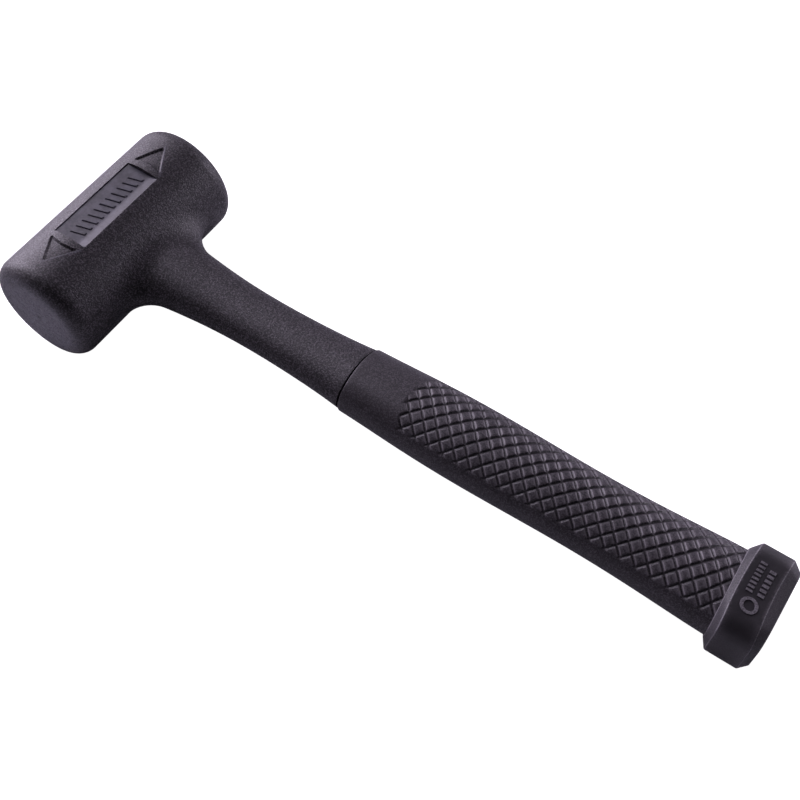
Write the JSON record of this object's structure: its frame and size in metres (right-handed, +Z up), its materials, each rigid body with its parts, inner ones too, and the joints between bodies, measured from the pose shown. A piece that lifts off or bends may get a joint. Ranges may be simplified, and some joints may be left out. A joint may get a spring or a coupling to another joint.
{
  "type": "dead blow mallet",
  "caption": "Soft-faced dead blow mallet: drum head cast over a canister of loose steel shot, oval neck, sleeve with diamond-cut pads and a bevelled butt cap.",
  "frame": {"origin": "on the surface the mallet lies on, under the middle of its length and width", "axes": "+X along the handle from head to butt, +Y along the head's axis, +Z up, out of the flank with the name panel. The mallet lies on the opposite flank, resting on the head and the butt cap, so the handle falls about 1.8 degrees towards the butt"},
  "size_m": [0.3009, 0.089, 0.045],
  "materials": {
    "cast_polyurethane": "matte",
    "grip_rubber": "matte",
    "cap_polyurethane": "matte",
    "mild_steel": "satin",
    "weld_steel": "satin",
    "shot_steel": "satin"
  },
  "bodies": {
    "mallet": {"head_moulding": "cast_polyurethane", "grip_sleeve": "grip_rubber", "butt_cap": "cap_polyurethane", "canister_tube": "mild_steel", "canister_end_near": "mild_steel", "canister_end_far": "mild_steel", "canister_weld_near": "weld_steel", "canister_weld_far": "weld_steel", "handle_core": "mild_steel", "core_weld": "weld_steel"},
    "shot": {"steel_shot": "shot_steel"}
  },
  "joints": [
    {"name": "shot_slide", "type": "slide", "parent": "mallet", "child": "shot", "axis": [0, 1, 0], "range_m": [-0.0109, 0.0109]}
  ]
}
